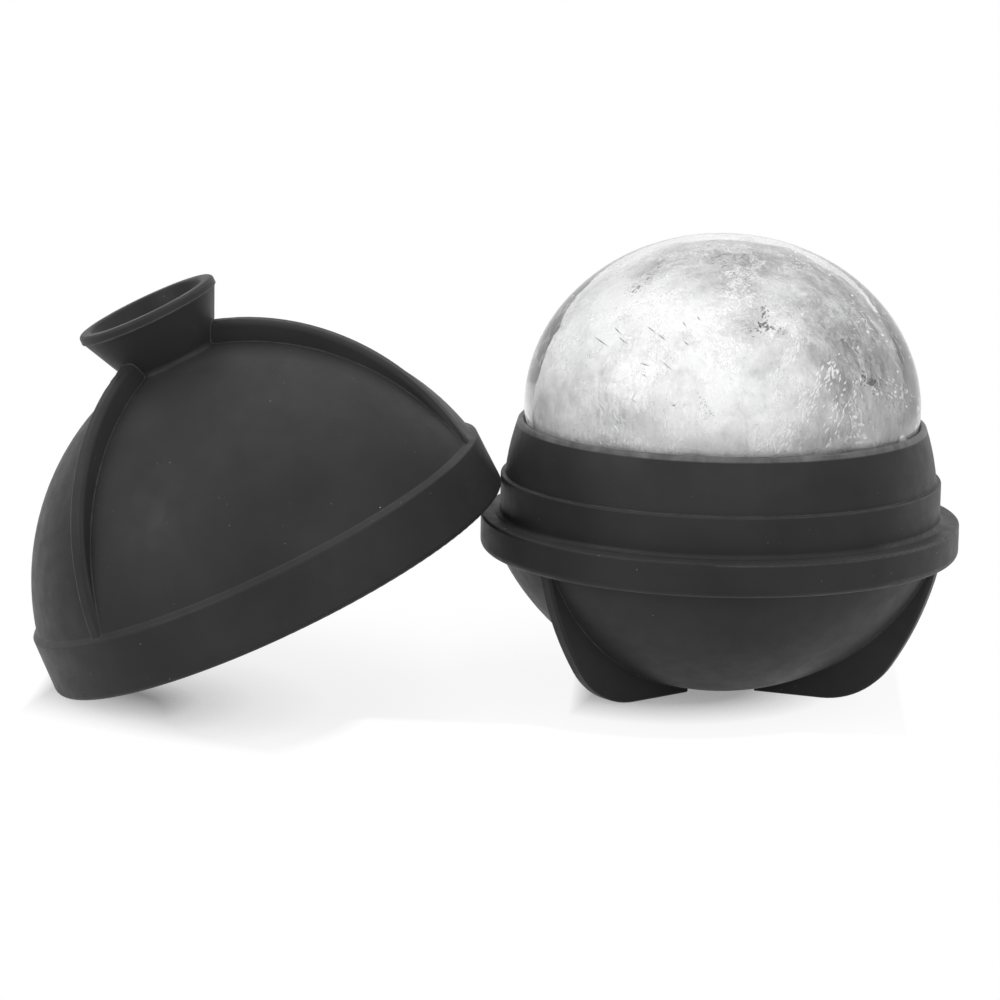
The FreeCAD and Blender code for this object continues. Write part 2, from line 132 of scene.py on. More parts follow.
def ramp_of(graph, source, stops):
    """Turns a value into colours: each stop is a position and a grey or a colour."""
    node = graph.nodes.new("ShaderNodeValToRGB")
    ramp = node.color_ramp
    while len(ramp.elements) < len(stops):
        ramp.elements.new(0.5)
    for element, (position, tone) in zip(ramp.elements, stops):
        element.position = position
        element.color = (*tone, 1.0) if isinstance(tone, tuple) else (tone, tone, tone, 1.0)
    graph.links.new(source, node.inputs["Fac"])
    return node.outputs["Color"]


def range_of(graph, source, low, high, floor=0.3, ceiling=0.7):
    """Goes from low to high while the source goes from floor to ceiling, and no further."""
    node = graph.nodes.new("ShaderNodeMapRange")
    node.inputs["From Min"].default_value = floor
    node.inputs["From Max"].default_value = ceiling
    node.inputs["To Min"].default_value = low
    node.inputs["To Max"].default_value = high
    graph.links.new(source, node.inputs["Value"])
    return node.outputs["Result"]


# %% [markdown]
# A finish is made of several patterns at once: a film of dust over the rubber, fine grain over
# broad waves. So the next helpers lay values, colours and bumps over each other. The first two also
# take a plain number in place of a pattern, which saves a node that only holds the number.


# %% Helpers that lay patterns over each other
def math_of(graph, operation, first, second):
    """One sum of two values, each a socket or a number."""
    node = graph.nodes.new("ShaderNodeMath")
    node.operation = operation
    for socket, entry in zip(node.inputs, (first, second)):
        if isinstance(entry, (int, float)):
            socket.default_value = entry
        else:
            graph.links.new(entry, socket)
    return node.outputs["Value"]


def mixed_of(graph, blend, share, first, second):
    """Two colours laid over each other; the share is a socket or a number."""
    node = graph.nodes.new("ShaderNodeMix")
    node.data_type = "RGBA"
    node.blend_type = blend
    if isinstance(share, (int, float)):
        node.inputs["Factor"].default_value = share
    else:
        graph.links.new(share, node.inputs["Factor"])
    for socket, entry in ((node.inputs["A"], first), (node.inputs["B"], second)):
        if isinstance(entry, float):
            socket.default_value = (entry, entry, entry, 1.0)
        else:
            graph.links.new(entry, socket)
    return node.outputs["Result"]


def bump_of(graph, height, distance, strength, before=None):
    """A bump of that height in metres, laid over an earlier one if it is given."""
    node = graph.nodes.new("ShaderNodeBump")
    node.inputs["Distance"].default_value = distance
    node.inputs["Strength"].default_value = strength
    graph.links.new(height, node.inputs["Height"])
    if before is not None:
        graph.links.new(before, node.inputs["Normal"])
    return node.outputs["Normal"]


# %% [markdown]
# Some finishes belong to one place: the painted shade at the cup's lip, the haze low in the ball. A
# mask could be painted by hand, but a painted mask is a picture that has to travel with the model. A
# distance measured along a direction does the same with three small nodes.

# %% Helpers that work with places
UP = (0.0, 0.0, 1.0)
DOWN = (0.0, 0.0, -1.0)


def vector_math_of(graph, operation, first, second):
    """The outputs of a sum of two vectors; the second one is a socket or three numbers."""
    node = graph.nodes.new("ShaderNodeVectorMath")
    node.operation = operation
    graph.links.new(first, node.inputs[0])
    if isinstance(second, bpy.types.NodeSocket):
        graph.links.new(second, node.inputs[1])
    else:
        node.inputs[1].default_value = second
    return node.outputs


def along_of(graph, place, origin, way, start, end):
    """A value that goes from nought to one along a direction, between two distances from a point."""
    away = vector_math_of(graph, "SUBTRACT", place, origin)["Vector"]
    distance = vector_math_of(graph, "DOT_PRODUCT", away, way)["Value"]
    return range_of(graph, distance, 0.0, 1.0, floor=start, ceiling=end)


def mapped_of(graph, place, shift=(0.0, 0.0, 0.0), turn=(0.0, 0.0, 0.0), scale=(1.0, 1.0, 1.0)):
    """Coordinates that are shifted, turned or scaled, so that a pattern moves or is drawn out."""
    node = graph.nodes.new("ShaderNodeMapping")
    node.inputs["Location"].default_value = shift
    node.inputs["Rotation"].default_value = turn
    node.inputs["Scale"].default_value = scale
    graph.links.new(place, node.inputs["Vector"])
    return node.outputs["Vector"]


# %% [markdown]
# The mold is black platinum silicone, cast in a sandblasted tool. Such rubber is matte but not
# dull: it has a faint satin sheen at the edges, a very fine grain from the tool, broad cloudy
# patches where it was handled, and a pale film where dust settles on its upper faces. One flat dark
# colour would look like a hole in the picture, so all of these go into the graph. Edges and creases
# are a little paler, from dust and a painted highlight: the Bevel node rounds them for the shader
# alone, and where its direction and the real one differ, an edge or a crease is near.
# The cup's lip looks like a pale band in the picture, broader than the top of the solid's lip. Here
# that band is only colour on the rubber, a painted highlight; a better model would give the solid a
# broader lip.

# %% Black silicone
RUBBER_DARK = 0.018
RUBBER_LIGHT = 0.029
HANDLED_PATCH = 14 * MM
FILM_TONE = 0.050
FILM_PATCH = 5 * MM
MOST_FILM = 0.14
# Painted highlight, partly dust: edges, creases and the cup's lip are made paler.
DUST_AND_HIGHLIGHT_TONE = 0.180
CREASE_WIDTH = 0.45 * MM
CREASE_SAMPLES = 4
MOST_DUST_AND_HIGHLIGHT = 0.9
LIP_BAND_FROM = -0.90 * MM
LIP_BAND_FULL = -0.65 * MM
SATIN_PATCH = 3 * MM
SATIN_ROUGHNESS = (0.42, 0.56)
WAVE_WIDTH = 6 * MM
WAVE_HEIGHT = 0.05 * MM
GRAIN_WIDTH = 0.28 * MM
GRAIN_HEIGHT = 0.012 * MM


def rubber_colour(graph, place, at_lip):
    """Black rubber, pale film on upper faces, dust and painted highlight on edges, creases and lip.
    """
    clouds = noise_of(graph, place, HANDLED_PATCH, detail=4.0)
    rubber = ramp_of(graph, clouds, [(0.30, RUBBER_DARK), (0.72, RUBBER_LIGHT)])

    faces = graph.nodes.new("ShaderNodeNewGeometry").outputs["Normal"]
    facing = graph.nodes.new("ShaderNodeSeparateXYZ")
    graph.links.new(faces, facing.inputs["Vector"])
    upper = range_of(graph, facing.outputs["Z"], 0.0, MOST_FILM, floor=0.2, ceiling=1.0)
    patches = noise_of(graph, place, FILM_PATCH, detail=6.0, roughness=0.7)
    settled = range_of(graph, patches, 0.2, 1.0)
    film = math_of(graph, "MULTIPLY", upper, settled)
    dusty = mixed_of(graph, "MIX", film, rubber, FILM_TONE)

    # Painted highlight, partly dust: paler near edges and creases, where the Bevel node bends the
    # normal, and on the lip band.
    rounded = graph.nodes.new("ShaderNodeBevel")
    rounded.samples = CREASE_SAMPLES
    rounded.inputs["Radius"].default_value = CREASE_WIDTH
    alike = vector_math_of(graph, "DOT_PRODUCT", rounded.outputs["Normal"], faces)["Value"]
    crease = range_of(graph, alike, MOST_DUST_AND_HIGHLIGHT, 0.0, floor=0.75, ceiling=0.98)
    dust_and_highlight = math_of(graph, "MULTIPLY", math_of(graph, "MAXIMUM", crease, at_lip), settled)
    return mixed_of(graph, "MIX", dust_and_highlight, dusty, DUST_AND_HIGHLIGHT_TONE)


def silicone(name, shift, lip_height=None):
    """Matte black silicone; the shift moves its patterns, a lip at that height gets painted
    highlight.
    """
    material, graph, shader, place = new_material(name)
    # Painted highlight: a pale band at the top of the cup's lip.
    at_lip = 0.0
    if lip_height is not None:
        at_lip = along_of(graph, place, (0.0, 0.0, lip_height), UP, LIP_BAND_FROM, LIP_BAND_FULL)
    place = mapped_of(graph, place, shift=(shift, -shift, 0.5 * shift))
    graph.links.new(rubber_colour(graph, place, at_lip), shader.inputs["Base Color"])

    satin = noise_of(graph, place, SATIN_PATCH, detail=5.0, roughness=0.6)
    graph.links.new(range_of(graph, satin, *SATIN_ROUGHNESS), shader.inputs["Roughness"])
    shader.inputs["Specular IOR Level"].default_value = 0.16
    shader.inputs["Sheen Weight"].default_value = 0.03
    shader.inputs["Sheen Roughness"].default_value = 0.45

    grain = noise_of(graph, place, GRAIN_WIDTH, detail=2.0)
    waves = noise_of(graph, place, WAVE_WIDTH, detail=1.0)
    normal = bump_of(graph, waves, WAVE_HEIGHT, 0.35)
    normal = bump_of(graph, grain, GRAIN_HEIGHT, 0.6, before=normal)
    graph.links.new(normal, shader.inputs["Normal"])
    return material


cup_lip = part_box("mold_cup")[1][2]
for node_name, shift, lip_height in (("mold_cup", 0.013, cup_lip), ("mold_lid", 0.071, None)):
    finish = silicone(node_name.replace("mold", "silicone"), shift, lip_height)
    mesh = nodes[node_name].data
    mesh.materials.clear()
    mesh.materials.append(finish)
    print(node_name, "has", len(mesh.polygons), "faces and the finish", finish.name)

# %% [markdown]
# The ice is a cast ball, frozen from the outside in. Clear ice forms first, against the mold, and
# pushes its air to the middle, where it stays as a white cloud. So the ball is built as it grew: a
# clear outer body that bends light, and a separate cloud inside. A single white ball would miss
# the clear edge that makes ice look like ice. Both start as a fine ball of triangles, which has no
# poles where faces crowd together.

# %% Balls of triangles, and pieces made of them
ball_low, ball_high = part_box("ice_ball")
ball_centre = (ball_low + ball_high) / 2
ball_radii = (ball_high - ball_low) / 2
ICE_DIVISIONS = 6
print("radii of the ball in mm:", [round(radius / MM, 2) for radius in ball_radii])


def ball_of(divisions):
    """A ball of triangles of radius one, as a mesh that can be edited."""
    ball = bmesh.new()
    bmesh.ops.create_icosphere(ball, subdivisions=divisions, radius=1.0)
    return ball


def on_radii(direction, radii):
    """The point of an upright ellipsoid around the origin that lies in that direction."""
    return Vector(direction[i] * radii[i] for i in range(3))


def add_piece(name, form, finish, smooth=True):
    """Turns an edited mesh into a piece of the object that stays with the frame."""
    mesh = bpy.data.meshes.new(name)
    form.to_mesh(mesh)
    form.free()
    for polygon in mesh.polygons:
        polygon.use_smooth = smooth
    mesh.materials.append(finish)
    piece = bpy.data.objects.new(name, mesh)
    bpy.context.scene.collection.objects.link(piece)
    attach(piece, "root")
    print(name, "has", len(mesh.polygons), "faces")
    return piece


# %% [markdown]
# Clear ice is hardly tinted. Three things make it more than glass: its edge looks darker, because
# light is bent far aside there, which here is painted shade in its colour; fine cracks craze it,
# some dark and some white; and low down it is hazy. In the picture the edge stays bright at the top,
# so a mask takes the painted shade away there, and a painted dark shade runs where the ball meets
# the cup's lip. The crazing is one noise: narrow bands of its values become lines, and a slanted,
# drawn-out mapping gives them a direction. A mesh for each hair-thin crack would be far heavier.

# %% The finish of clear ice
ICE_BENDS_LIGHT = 1.31
TINT_WIDTH = 9 * MM
TINT = [(0.3, (0.985, 0.99, 0.992)), (0.7, (1.0, 1.0, 1.0))]
# Painted shade: darker round the edge of the ball, except at the top, and darker at the cup's lip.
EDGE_SHADE_TONES = [(0.62, 1.0), (0.82, 0.88), (0.88, 0.62), (0.94, 0.15)]
EDGE_ENDS_ABOVE = 27 * MM
EDGE_FULL_BELOW = 23 * MM
LIP_SHADE_ABOVE = 1.1 * MM
LIP_SHADE_BELOW = 0.2 * MM
LIP_SHADE_TONE = 0.35
CRAZE_WIDTH = 3.2 * MM
CRAZE_TURN = (0.0, 0.6, 0.3)
CRAZE_SCALE = (1.0, 1.0, 0.45)
CRAZE_PATCH = 7 * MM
DARK_LINES = [(0.472, 1.0), (0.490, 0.74), (0.505, 1.0)]
WHITE_LINES = [(0.505, 0.0), (0.525, 0.8), (0.545, 0.0)]
FROST_PATCH = 4 * MM
MOST_FROST = 0.04
HAZE_PATCH = 5 * MM
HAZE = (0.1, 0.4)
HAZE_BEGINS_ABOVE = 12 * MM
HAZE_FULL_BELOW = 3 * MM
RIPPLE_WIDTH = 2.5 * MM
RIPPLE_HEIGHT = 0.04 * MM


def tint_and_painted_shade(graph, place):
    """The tint of the ice, with painted shade round its edge, except at the top, and at the cup's
    lip.
    """
    tint = noise_of(graph, place, TINT_WIDTH, detail=3.0)
    clear = ramp_of(graph, tint, TINT)
    # Painted shade: the ice darkens towards its edge, but not at the top.
    edge = graph.nodes.new("ShaderNodeLayerWeight")
    edge.inputs["Blend"].default_value = 0.5
    edge_shade = ramp_of(graph, edge.outputs["Facing"], EDGE_SHADE_TONES)
    not_top = along_of(graph, place, ball_centre, DOWN, -EDGE_ENDS_ABOVE, -EDGE_FULL_BELOW)
    with_edge_shade = mixed_of(graph, "MULTIPLY", not_top, clear, edge_shade)
    # Painted shade: the ice is darker from just above the cup's lip downwards.
    lip_shade = along_of(graph, place, (0.0, 0.0, cup_lip), DOWN, -LIP_SHADE_ABOVE, LIP_SHADE_BELOW)
    return mixed_of(graph, "MULTIPLY", lip_shade, with_edge_shade, LIP_SHADE_TONE)


def clear_ice():
    """Clear ice: hardly tinted, with painted shade, crazed by fine cracks and hazier near the lip of
    the cup.
    """
    material, graph, shader, place = new_material("clear_ice")
    slanted = mapped_of(graph, place, turn=CRAZE_TURN, scale=CRAZE_SCALE)
    crazing = noise_of(graph, slanted, CRAZE_WIDTH, detail=8.0, roughness=0.70, distortion=0.3)
    where = noise_of(graph, place, CRAZE_PATCH, detail=3.0)
    patchy = range_of(graph, where, 0.0, 1.0, floor=0.40, ceiling=0.60)
    dark = ramp_of(graph, crazing, DARK_LINES)
    colour = mixed_of(graph, "MULTIPLY", patchy, tint_and_painted_shade(graph, place), dark)
    graph.links.new(colour, shader.inputs["Base Color"])
    white = math_of(graph, "MULTIPLY", patchy, ramp_of(graph, crazing, WHITE_LINES))

    frost = noise_of(graph, place, FROST_PATCH, detail=5.0, roughness=0.65)
    frosted = range_of(graph, frost, 0.0, MOST_FROST, floor=0.45, ceiling=0.75)
    graph.links.new(frosted, shader.inputs["Roughness"])
    haze = range_of(graph, noise_of(graph, place, HAZE_PATCH, detail=5.0, roughness=0.6), *HAZE)
    lower = along_of(graph, place, ball_centre, DOWN, -HAZE_BEGINS_ABOVE, HAZE_FULL_BELOW)
    milky = math_of(graph, "MAXIMUM", math_of(graph, "MULTIPLY", haze, lower), white)
    seen_through = range_of(graph, milky, 1.0, 0.0, floor=0.0, ceiling=1.0)
    graph.links.new(seen_through, shader.inputs["Transmission Weight"])
    shader.inputs["IOR"].default_value = ICE_BENDS_LIGHT
    ripple = noise_of(graph, place, RIPPLE_WIDTH, detail=3.0)
    graph.links.new(bump_of(graph, ripple, RIPPLE_HEIGHT, 0.5), shader.inputs["Normal"])
    return material


# %% [markdown]
# The clear body follows the solid of the frame and takes its place in the picture. Its skin has
# begun to melt, which a displacement modifier could show as well. Moving the points themselves says
# plainly how deep the dimples go: they are only pressed inwards, so the ball doesn't grow.

# %% The clear body of the ball
MELT_DEPTH = 0.10 * MM
MELT_WIDTH = 7 * MM

skin = ball_of(ICE_DIVISIONS)
for vertex in skin.verts:
    out = vertex.co.normalized()
    on_ball = on_radii(out, ball_radii)
    dimple = 0.5 + 0.5 * noise.noise(on_ball / MELT_WIDTH)
    vertex.co = ball_centre + on_ball - out * dimple * MELT_DEPTH
ice_skin = add_piece("ice_skin", skin, clear_ice())
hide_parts("ice_ball")

# %% [markdown]
# The cloud is a dense mass of tiny trapped bubbles. It could be a volume, but a volume is slow and
# noisy and is lost when the model goes to another program, so it is a mesh: a ball pushed in and
# out by noise at several scales. Clear ice works as a lens and makes what is inside it look about a
# third larger, so the cloud is only some seven tenths as wide as the ball and still seems to fill
# it. It is white where the bubbles are dense. Towards the top and the right a painted shade makes it
# greyer, with feathery streaks, as in the picture.

# %% The white cloud in the middle
CLOUD_RADII = Vector((22.7, 22.4, 19.3)) * MM
CLOUD_SHIFT = Vector((-0.2, -0.3, -0.2)) * MM
CLOUD_LUMPS = ((0.9, 1.7), (0.5, 4.3), (0.20, 11.0), (0.10, 26.0))
BILLOW_WIDTH = 11 * MM
BILLOW_SHARE = 0.55
WISP_WIDTH = 2.2 * MM
WISP_SHARE = 0.45
WISP_HEIGHT = 0.4 * MM
FEATHER_WIDTH = 0.9 * MM
FEATHER_SCALE = (1.0, 1.0, 0.25)
FEATHER_TURN = (0.0, 0.35, 0.0)
FEATHER_TONES = [(0.38, 0.45), (0.55, 1.0)]
FEATHER_SHARE = 0.7
FEATHER_HEIGHT = 0.3 * MM
WHITE_TONES = [(0.36, 0.76), (0.46, 0.93), (0.55, 1.0)]
GREY_TONES = [(0.36, 0.22), (0.50, 0.39), (0.64, 0.64)]
# Painted shade: the cloud is greyer towards the right and the top of the ball.
TO_THE_RIGHT = (0.84, -0.05, 0.54)
GREYER_RIGHT = (6 * MM, 20 * MM)
TO_THE_TOP = (0.10, 0.15, 0.98)
GREYER_TOP = (12.5 * MM, 17 * MM)
MOST_GREY_TOP = 0.72
GREY_DRIFT = 0.35
LIGHT_SPREADS = 2 * MM


def cloud_ice():
    """Cloudy ice: white where its bubbles are dense, greyer at random and with painted shade right
    and top.
    """
    material, graph, shader, place = new_material("cloud_ice")
    billows = noise_of(graph, place, BILLOW_WIDTH, detail=8.0, roughness=0.65, distortion=0.2)
    wisps = noise_of(graph, place, WISP_WIDTH, detail=7.0, roughness=0.75, distortion=0.4)
    mixed = math_of(graph, "ADD", math_of(graph, "MULTIPLY", billows, BILLOW_SHARE),
                    math_of(graph, "MULTIPLY", wisps, WISP_SHARE))
    drawn_out = mapped_of(graph, place, turn=FEATHER_TURN, scale=FEATHER_SCALE)
    feathers = noise_of(graph, drawn_out, FEATHER_WIDTH, detail=5.0, roughness=0.65, distortion=1.5)
    white = ramp_of(graph, mixed, WHITE_TONES)
    grey = ramp_of(graph, mixed, GREY_TONES)
    streaks = ramp_of(graph, feathers, FEATHER_TONES)
    streaked = mixed_of(graph, "MULTIPLY", FEATHER_SHARE, grey, streaks)

    # Painted shade towards the right and the top, with greys at random from the billows.
    right = along_of(graph, place, ball_centre, TO_THE_RIGHT, *GREYER_RIGHT)
    top = along_of(graph, place, ball_centre, TO_THE_TOP, *GREYER_TOP)
    grey_shade = math_of(graph, "MAXIMUM", right, math_of(graph, "MULTIPLY", top, MOST_GREY_TOP))
    drift = math_of(graph, "ADD", grey_shade, range_of(graph, billows, GREY_DRIFT, -GREY_DRIFT))
    graph.links.new(mixed_of(graph, "MIX", drift, white, streaked), shader.inputs["Base Color"])
    graph.links.new(range_of(graph, wisps, 0.35, 0.7), shader.inputs["Roughness"])
    shader.inputs["Subsurface Weight"].default_value = 0.2
    shader.inputs["Subsurface Radius"].default_value = (1.0, 1.0, 1.0)
    shader.inputs["Subsurface Scale"].default_value = LIGHT_SPREADS
    normal = bump_of(graph, wisps, WISP_HEIGHT, 0.8)
    normal = bump_of(graph, feathers, FEATHER_HEIGHT, 0.9, before=normal)
    graph.links.new(normal, shader.inputs["Normal"])
    return material


cloud = ball_of(ICE_DIVISIONS)
for vertex in cloud.verts:
    out = vertex.co.normalized()
    rough = sum(height * noise.noise(out * pitch) for height, pitch in CLOUD_LUMPS) * MM
    vertex.co = ball_centre + CLOUD_SHIFT + out * rough + on_radii(out, CLOUD_RADII)
add_piece("ice_cloud", cloud, cloud_ice())

# %% [markdown]
# Between the cloud and the skin lie cracks, needles of air and single bubbles. Each is a tiny
# closed solid, so that it looks right from every side. They could be painted on, but then they
# would slide over the surface instead of lying at their own depths. To set a fleck where the
# picture shows it, a line is drawn from the camera through that point of the picture, and the fleck
# goes just under the skin where the line meets the ball.


# %% Helpers that set flecks in the ice
def sight_line(across, down):
    """The direction in which the camera sees a point of the picture, given in its pixels."""
    half = PICTURE_WIDTH / 2
    return (ahead * PIXELS_PER_RADIAN + camera_right * (across - half)
            - camera_up * (down - half)).normalized()


def over_ball(direction):
    """Where a line from the camera meets the ball, and the way out of the ball there."""
    start = Vector((CAMERA_AT - ball_centre)[i] / ball_radii[i] for i in range(3))
    along = Vector(direction[i] / ball_radii[i] for i in range(3))
    a, b, c = along.dot(along), start.dot(along), start.dot(start) - 1.0
    root = b * b - a * c
    if root <= 0:
        return None, None
    point = CAMERA_AT + direction * ((-b - math.sqrt(root)) / a)
    out = Vector((point - ball_centre)[i] / ball_radii[i] ** 2 for i in range(3)).normalized()
    return point, out


def add_fleck(form, at, along, out, length, width, depth):
    """A closed sliver with six corners, pointed at both ends."""
    side = out.cross(along).normalized()
    corners = [at + along * length / 2, at + side * width / 2, at - along * length / 2,
               at - side * width / 2, at + out * depth / 2, at - out * depth / 2]
    made = [form.verts.new(corner) for corner in corners]
    for i in range(4):
        j = (i + 1) % 4
        form.faces.new((made[i], made[j], made[4]))
        form.faces.new((made[j], made[i], made[5]))


FLECK_TONE_WIDTH = 1.2 * MM
FLECK_BUMP = 0.02 * MM
MORE_ROUGHNESS = 0.2


def fleck_finish(name, dark, light, roughness):
    """A finish for specks and cracks, uneven in tone and with little shine."""
    material, graph, shader, place = new_material(name)
    tone = noise_of(graph, place, FLECK_TONE_WIDTH, detail=4.0)
    graph.links.new(ramp_of(graph, tone, [(0.35, dark), (0.65, light)]),
                    shader.inputs["Base Color"])
    graph.links.new(range_of(graph, tone, roughness, roughness + MORE_ROUGHNESS),
                    shader.inputs["Roughness"])
    shader.inputs["Specular IOR Level"].default_value = 0.15
    graph.links.new(bump_of(graph, tone, FLECK_BUMP, 0.5), shader.inputs["Normal"])
    return material


# %% [markdown]
# Most cracks lie in trails, where the ice gave way along a line. A trail is a line of the picture
# with flecks scattered round it by chance. Chance here always starts from the same seed, so that
# each run gives the same ball. Setting every fleck by hand would take hundreds of points. In a
# trail the ends and the spread are in pixels of the picture, the slant is in degrees, and the
# length, the width and how far a fleck is sunk are in mm, as is the least depth under the skin.

# %% Helper that lays a trail of flecks
Trail = namedtuple("Trail", "start end count spread length width slant sunk")
UNDER_SKIN = 0.22
FLECK_SIZES = (0.5, 1.3)
DEEPEST = 3
FLATNESS = 0.6


def add_trail(form, chance, trail, wild):
    """Flecks along a line of the picture; wild is how far their slant varies, in degrees."""
    for _ in range(trail.count):
        share = chance.random()
        across, down = (
            trail.start[i] + (trail.end[i] - trail.start[i]) * share + chance.gauss(0, trail.spread)
            for i in range(2))
        point, out = over_ball(sight_line(across, down))
        if point is None:
            continue
        angle = math.radians(trail.slant + chance.gauss(0, wild))
        along = camera_right * math.cos(angle) - camera_up * math.sin(angle)
        along = (along - out * along.dot(out)).normalized()
        size = chance.uniform(*FLECK_SIZES)
        at = point - out * (UNDER_SKIN + trail.sunk * chance.uniform(0, DEEPEST)) * MM
        add_fleck(form, at, along, out, trail.length * size * MM, trail.width * size * MM,
                  FLATNESS * trail.width * size * MM)


# %% [markdown]
# Needles of air look dark against the white cloud, because they bend the light away. A dozen on the
# left of the ball are set one by one, by their two ends in pixels of the picture. The rest lie in
# trails and point every way, mostly at the top, near the middle and at the far right.

# %% Dark needles and cracks
NEEDLE_WIDTH = 0.17 * MM
NEEDLE_SUNK = 0.3 * MM
DARK_WILD = 45
NEEDLE_ENDS = (
    ((613, 326), (621, 334)), ((617, 336), (629, 345)), ((646, 325), (656, 333)),
    ((656, 332), (667, 341)), ((592, 335), (609, 347)), ((682, 320), (686, 326)),
    ((683, 340), (689, 345)), ((638, 362), (650, 366)), ((660, 360), (672, 370)),
    ((697, 315), (700, 320)), ((640, 373), (647, 377)), ((630, 398), (636, 403)))
DARK_TRAILS = (
    Trail((632, 292), (662, 262), 60, 2.5, 0.6, 0.20, -45, 0.2),
    Trail((706, 250), (752, 258), 120, 6, 0.7, 0.16, 75, 0.2),
    Trail((748, 325), (792, 330), 40, 3, 0.5, 0.18, -30, 0.2),
    Trail((762, 304), (768, 326), 34, 2.5, 0.5, 0.22, -60, 0.2),
    Trail((862, 374), (882, 388), 60, 5, 0.6, 0.26, 30, 0.15),
    Trail((884, 388), (906, 418), 60, 6, 0.5, 0.20, 60, 0.15),
    Trail((868, 381), (878, 385), 16, 1.5, 0.9, 0.50, 20, 0.1),
    Trail((760, 322), (770, 328), 9, 1.5, 0.8, 0.34, -30, 0.1),
    Trail((700, 398), (712, 420), 40, 3.0, 0.3, 0.10, -60, 0.2),
    Trail((673, 405), (674, 406), 3, 0.3, 0.4, 0.34, 0, 0.1))

needles = bmesh.new()
for start, end in NEEDLE_ENDS:
    first, out = over_ball(sight_line(*start))
    last, _ = over_ball(sight_line(*end))
    add_fleck(needles, (first + last) / 2 - out * NEEDLE_SUNK, (last - first).normalized(), out,
              (last - first).length, NEEDLE_WIDTH, NEEDLE_WIDTH)
chance = random.Random(11)
for trail in DARK_TRAILS:
    add_trail(needles, chance, trail, DARK_WILD)
add_piece("ice_needles", needles,
          fleck_finish("dark_cracks", dark=0.04, light=0.20, roughness=0.2), smooth=False)

# %% [markdown]
# Where a crack is wide enough to hold air, it throws the light back and glints. These flecks lie
# nearly in line with each other, so their slants vary less, and their finish is nearly white.

# %% Bright cracks
BRIGHT_WILD = 14
BRIGHT_TRAILS = (
    Trail((796, 342), (774, 386), 60, 3, 1.5, 0.28, -62, 0.2),
    Trail((836, 366), (776, 446), 150, 6, 1.0, 0.30, -55, 0.2),
    Trail((856, 380), (826, 446), 60, 7, 0.8, 0.26, -60, 0.2),
    Trail((856, 420), (866, 446), 34, 4, 0.8, 0.30, 30, 0.2),
    Trail((884, 380), (908, 400), 40, 7, 0.7, 0.24, 20, 0.2),
    Trail((590, 396), (626, 430), 34, 5, 1.1, 0.18, 40, 0.4),
    Trail((532, 356), (552, 332), 18, 1.5, 1.6, 0.18, -52, 0.2),
    Trail((540, 392), (548, 366), 18, 2, 1.5, 0.18, -75, 0.2),
    Trail((850, 300), (872, 322), 16, 5, 1.6, 0.14, -40, 0.3),
    Trail((640, 440), (720, 420), 30, 8, 0.8, 0.18, 10, 0.3))

glints = bmesh.new()
chance = random.Random(23)
for trail in BRIGHT_TRAILS:
    add_trail(glints, chance, trail, BRIGHT_WILD)
add_piece("ice_glints", glints,
          fleck_finish("bright_cracks", dark=0.97, light=1.0, roughness=0.4), smooth=False)

# %% [markdown]
# Single bubbles are caught on all sides of the ball, outside the cloud. Small balls with few faces
# do for them, since each is only a few pixels wide.

# %% Single bubbles
BUBBLES = 150
BUBBLE_DIVISIONS = 2
BUBBLE_REACH = (0.80, 0.96)
BUBBLE_SIZE = (0.09, 0.26)

bubbles = bmesh.new()
chance = random.Random(37)
for _ in range(BUBBLES):
    out = Vector((chance.gauss(0, 1), chance.gauss(0, 1), chance.gauss(0, 1))).normalized()
    reach = chance.uniform(*BUBBLE_REACH)
    middle = ball_centre + Vector(out[i] * ball_radii[i] * reach for i in range(3))
    size = chance.uniform(*BUBBLE_SIZE) * MM
    bmesh.ops.create_icosphere(bubbles, subdivisions=BUBBLE_DIVISIONS, radius=size,
                               matrix=Matrix.Translation(middle))
add_piece("ice_bubbles", bubbles,
          fleck_finish("bubble_white", dark=0.93, light=1.0, roughness=0.3))

# %% [markdown]
# Silicone attracts dust, and a black mold shows every grain. The specks are real geometry, tiny
# flattened solids that lie on the rubber, because painted dots would blur when seen close. Each one
# is dropped on a random face, chosen by area, so that they are spread as real dust is. They keep
# clear of the outermost faces, so that the object doesn't grow.

# %% Dust on the rubber
SPECK_SIZE = (0.04, 0.10)
BIG_SPECK = 2.0
BIG_SPECK_CHANCE = 0.05
SPECK_LENGTHS = (1, 2)
SPECK_FLATNESS = 0.4
KEPT_CLEAR = 0.5 * MM


def dust(node_name, count, seed):
    """Pale specks on the faces of one piece of rubber, inside and out."""
    chance = random.Random(seed)
    polygons = nodes[node_name].data.polygons
    shares = [polygon.area for polygon in polygons]
    low, high = (Vector(corner) for corner in cad_box)
    form = bmesh.new()
    for polygon in chance.choices(polygons, weights=shares, k=count):
        at = polygon.center
        size = chance.uniform(*SPECK_SIZE) * MM
        size *= BIG_SPECK if chance.random() < BIG_SPECK_CHANCE else 1.0
        if any(at[i] - low[i] < KEPT_CLEAR or high[i] - at[i] < KEPT_CLEAR for i in range(3)):
            continue
        along = polygon.normal.orthogonal()
        along.rotate(Matrix.Rotation(chance.uniform(0, math.pi), 3, polygon.normal))
        add_fleck(form, at, along, polygon.normal, size * chance.uniform(*SPECK_LENGTHS), size,
                  SPECK_FLATNESS * size)
    return form


for node_name, count, seed in (("mold_cup", 300, 5), ("mold_lid", 340, 8)):
    finish = fleck_finish(node_name.replace("mold", "dust"), dark=0.25, light=0.60, roughness=0.7)
    add_piece(node_name.replace("mold", "dust_on"), dust(node_name, count, seed), finish,
              smooth=False)

# %% [markdown]
# The object stands on a white table in front of a white sweep. A strong light could make both
# white, but it would also wash out the black rubber. So the floor and the room only look white: to
# rays from the camera, from a reflection or through the ice they give off plain white, and to all
# other rays they are plain paper and a dimly lit room.


